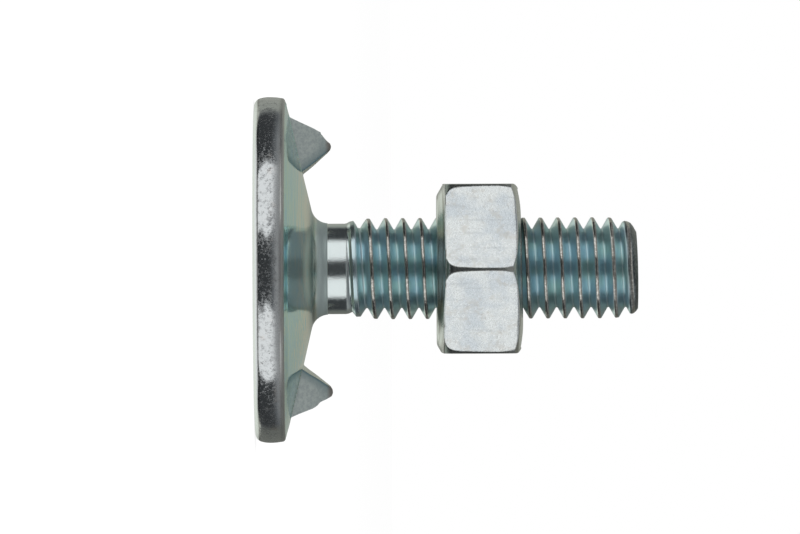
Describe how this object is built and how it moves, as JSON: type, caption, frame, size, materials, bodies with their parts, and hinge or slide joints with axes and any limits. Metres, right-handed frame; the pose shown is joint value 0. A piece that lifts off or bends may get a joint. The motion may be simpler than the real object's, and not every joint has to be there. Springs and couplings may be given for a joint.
{
  "type": "elevator bolt",
  "caption": "Elevator bolt with a flat plate head, fangs under it, a fully threaded shank and a hex nut.",
  "frame": {"origin": "centre of the head's flat face, which the bolt stands on", "axes": "+Z along the shank, from the head to the tip; the fangs lie on the X axis, one each side"},
  "size_m": [0.02, 0.02, 0.0223],
  "materials": {
    "zinc_bolt": "bright blue-white zinc plating",
    "zinc_nut": "frosted white zinc plating"
  },
  "bodies": {
    "bolt": {"bolt": "zinc_bolt"},
    "nut": {"nut": "zinc_nut"}
  },
  "joints": [
    {"name": "nut_travel", "type": "slide", "parent": "bolt", "child": "nut", "axis": [0, 0, 1], "range_m": [-0.004, 0.008]}
  ]
}
